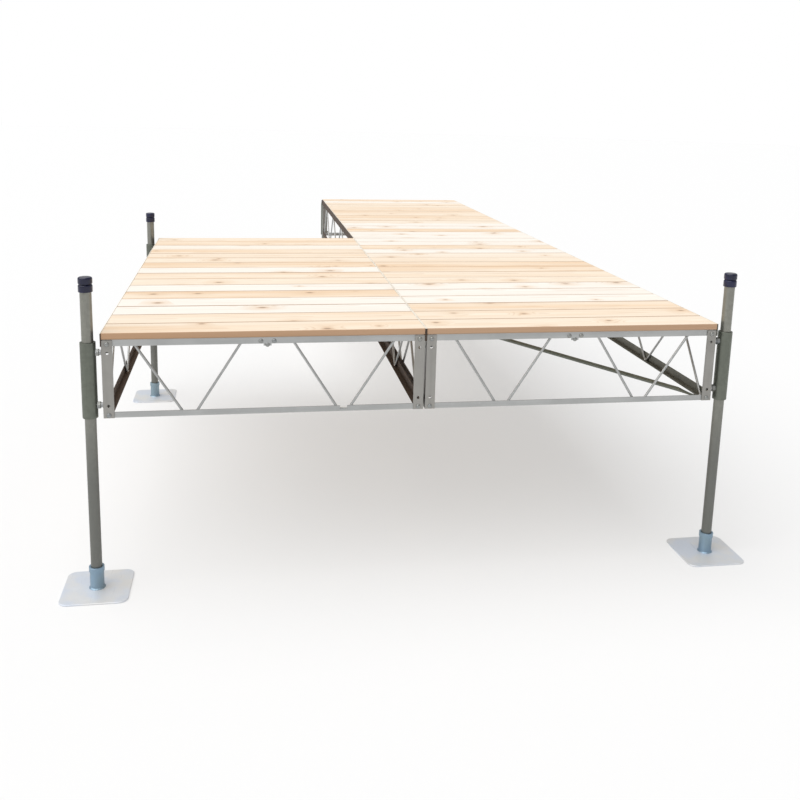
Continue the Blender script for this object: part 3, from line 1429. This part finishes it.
class JETTY_OT_fasteners(Operator):
    """Bolts, nuts, washers and set screws"""

    bl_idname = "jetty.fasteners"
    bl_label = "Fasteners"

    def frame_bolts(self, look):
        """Domed heads where the end chords meet the posts, and on the clips."""
        # Places of the heads on the chords, as shares of a chord's height
        on_top, on_bottom, on_clip = 0.69, 0.48, 0.62
        spots = []
        for section in SECTIONS:
            for side in ("front", "back"):
                edge = Edge(section, side)
                low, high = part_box(f"{section}_{side}_truss")
                post_x = edge.half - look.post_w / 2
                heights = (high.z - look.top_chord_h * on_top, low.z + look.end_chord_h * on_bottom)
                places = [(x, 0, z) for x in (-post_x, post_x) for z in heights]
                clip_z = high.z - look.top_chord_h * on_clip
                places += [(x, look.post_t, clip_z) for x in (-look.clip_bolt, look.clip_bolt)]
                tab_z = high.z - look.top_chord_h - look.clip_drop / 2
                places.append((0, look.post_t + look.angle_t, tab_z))
                outward, along = edge.facing(0, -1, 0), edge.facing(1, 0, 0)
                spots += [(edge.at(*place), outward, along) for place in places]
        return spots

    def joint_bolts(self, look):
        """Heads and nuts of the bolts that join neighbouring sections."""
        heads, nuts = [], []
        for section, side in JOINTS:
            edge = Edge(section, side)
            along, inward = edge.facing(1, 0, 0), edge.facing(0, 1, 0)
            post_x = edge.half - look.post_w / 2
            for x in (-post_x, post_x):
                for z in bolt_heights(look):
                    heads.append((edge.at(x, look.post_t, z), inward, along))
                    nuts.append((edge.at(x, -joint_gap() - look.post_t, z), -inward, along))
        return heads, nuts

    def execute(self, context):
        look = context.scene.jetty_frame
        legs_look = context.scene.jetty_legs
        zinc = bright_zinc("zinc_bolt_finish", look.bolt, 0.38, 0.75)
        heads, nuts = self.joint_bolts(look)
        legs = [Leg(name) for name in LEGS]
        up = Vector((0, 0, 1))
        sleeve_nuts, screws = [], []
        for leg in legs:
            for z in bolt_heights(look):
                nuts.append((leg.at(leg.reach + look.post_t, 0, z), leg.towards, up))
                sleeve_nuts.append((leg.at(leg.sleeve_r, 0, z), leg.towards, up))
                screws.append((leg.at(0, MM - leg.sleeve_r, z - look.screw_drop), -leg.outward, up))
        room = legs[0].reach - legs[0].sleeve_r
        for name, fitting, spots in (
            ("frame_bolts", round_bolt_head(), self.frame_bolts(look)),
            ("through_bolt_heads", hex_bolt_head(), heads),
            ("through_bolt_nuts", nut_on_thread(), nuts),
            ("sleeve_nuts", sleeve_nut(legs_look.nut_across, room), sleeve_nuts),
            ("sleeve_set_screws", set_screw(), screws),
        ):
            add_piece(name, set_out(fitting, spots, zinc), "zinc_foot")
        return {"FINISHED"}


# ---- Studio -----------------------------------------------------------------------


class JETTY_OT_stage(Operator):
    """Pale floor, soft light and the camera"""

    bl_idname = "jetty.stage"
    bl_label = "Stage"

    def execute(self, context):
        look = context.scene.jetty_studio
        self.add_floor(look)
        self.add_light(context.scene, look)
        self.add_camera(context.scene, look)
        return {"FINISHED"}

    def add_floor(self, look):
        finish = Finish("studio_floor")
        cloud = finish.noise(finish.place, 0.6, 2)
        tint = finish.mix(cloud * 0.10, look.floor[:], shade(look.floor, 0.97))
        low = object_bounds()[0][2]
        clear, thick = 0.2 * MM, 20 * MM
        shape = Shape()
        ring = [(look.floor_r * c, look.floor_r * s) for c, s in around(96)]
        shape.plate(ring, low - thick, low - clear)
        surface = finish.surface(
            Base_Color=tint, Roughness=0.85, Specular_IOR_Level=0.2,
            Emission_Color=(1, 1, 1, 1), Emission_Strength=look.glow,
        )
        add_object("floor", shape.mesh("floor", surface))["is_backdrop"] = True

    def add_light(self, scene, look):
        world = bpy.data.worlds.new("studio")
        world.use_nodes = True
        world.node_tree.nodes.clear()
        tree = Tree(world.node_tree)
        white = (1, 1, 1, 1)
        light = tree.node("ShaderNodeBackground", None, {"Color": white, "Strength": look.sky})
        backdrop = tree.node("ShaderNodeBackground", None, {"Color": white, "Strength": look.backdrop})
        seen = tree.node("ShaderNodeLightPath", output="Is Camera Ray")
        shader = tree.node("ShaderNodeMixShader", None, {0: seen, 1: light, 2: backdrop})
        tree.node("ShaderNodeOutputWorld", None, {"Surface": shader})
        scene.world = world
        lamp = bpy.data.lights.new("overhead", "SUN")
        lamp.energy = look.lamp
        lamp.angle = look.lamp_width
        holder = bpy.data.objects.new("overhead", lamp)
        holder.rotation_euler = Euler(look.lamp_turn, "XYZ")
        scene.collection.objects.link(holder)

    def add_camera(self, scene, look):
        camera = bpy.data.cameras.new("camera")
        camera.lens = look.lens
        camera.sensor_width = 36
        camera.shift_x, camera.shift_y = look.shift
        camera.clip_end = 200
        holder = bpy.data.objects.new("camera", camera)
        holder.location = look.camera_place
        holder.rotation_euler = Euler(look.camera_turn, "XYZ")
        scene.collection.objects.link(holder)
        scene.camera = holder
        scene.view_settings.view_transform = "Standard"


# ---- Add-on -----------------------------------------------------------------------


OPERATORS = (
    JETTY_OT_stage,
    JETTY_OT_deck_boards,
    JETTY_OT_deck_screws,
    JETTY_OT_bearers,
    JETTY_OT_end_trusses,
    JETTY_OT_side_trusses,
    JETTY_OT_corner_posts,
    JETTY_OT_braces,
    JETTY_OT_pipes,
    JETTY_OT_sleeves,
    JETTY_OT_feet,
    JETTY_OT_caps,
    JETTY_OT_fasteners,
)
GROUPS = {
    "jetty_timber": JettyTimber,
    "jetty_frame": JettyFrame,
    "jetty_legs": JettyLegs,
    "jetty_studio": JettyStudio,
}


class JETTY_PT_panel(Panel):
    """Panel with the jetty's sizes, colours and steps"""

    bl_label = "Sectional Jetty"
    bl_idname = "JETTY_PT_panel"
    bl_space_type = "VIEW_3D"
    bl_region_type = "UI"
    bl_category = "Jetty"

    def draw(self, context):
        for operator in OPERATORS:
            self.layout.operator(operator.bl_idname)
        for name, group in GROUPS.items():
            box = self.layout.box()
            box.label(text=group.__doc__)
            for prop in group.__annotations__:
                box.prop(getattr(context.scene, name), prop)


def register():
    for group in GROUPS.values():
        bpy.utils.register_class(group)
    for operator in OPERATORS:
        bpy.utils.register_class(operator)
    bpy.utils.register_class(JETTY_PT_panel)
    for name, group in GROUPS.items():
        setattr(bpy.types.Scene, name, PointerProperty(type=group))


def unregister():
    for name in GROUPS:
        delattr(bpy.types.Scene, name)
    bpy.utils.unregister_class(JETTY_PT_panel)
    for operator in reversed(OPERATORS):
        bpy.utils.unregister_class(operator)
    for group in reversed(GROUPS.values()):
        bpy.utils.unregister_class(group)


def main():
    register()
    for operator in OPERATORS:
        family, step = operator.bl_idname.split(".")
        getattr(getattr(bpy.ops, family), step)()


if __name__ == "__main__":
    main()
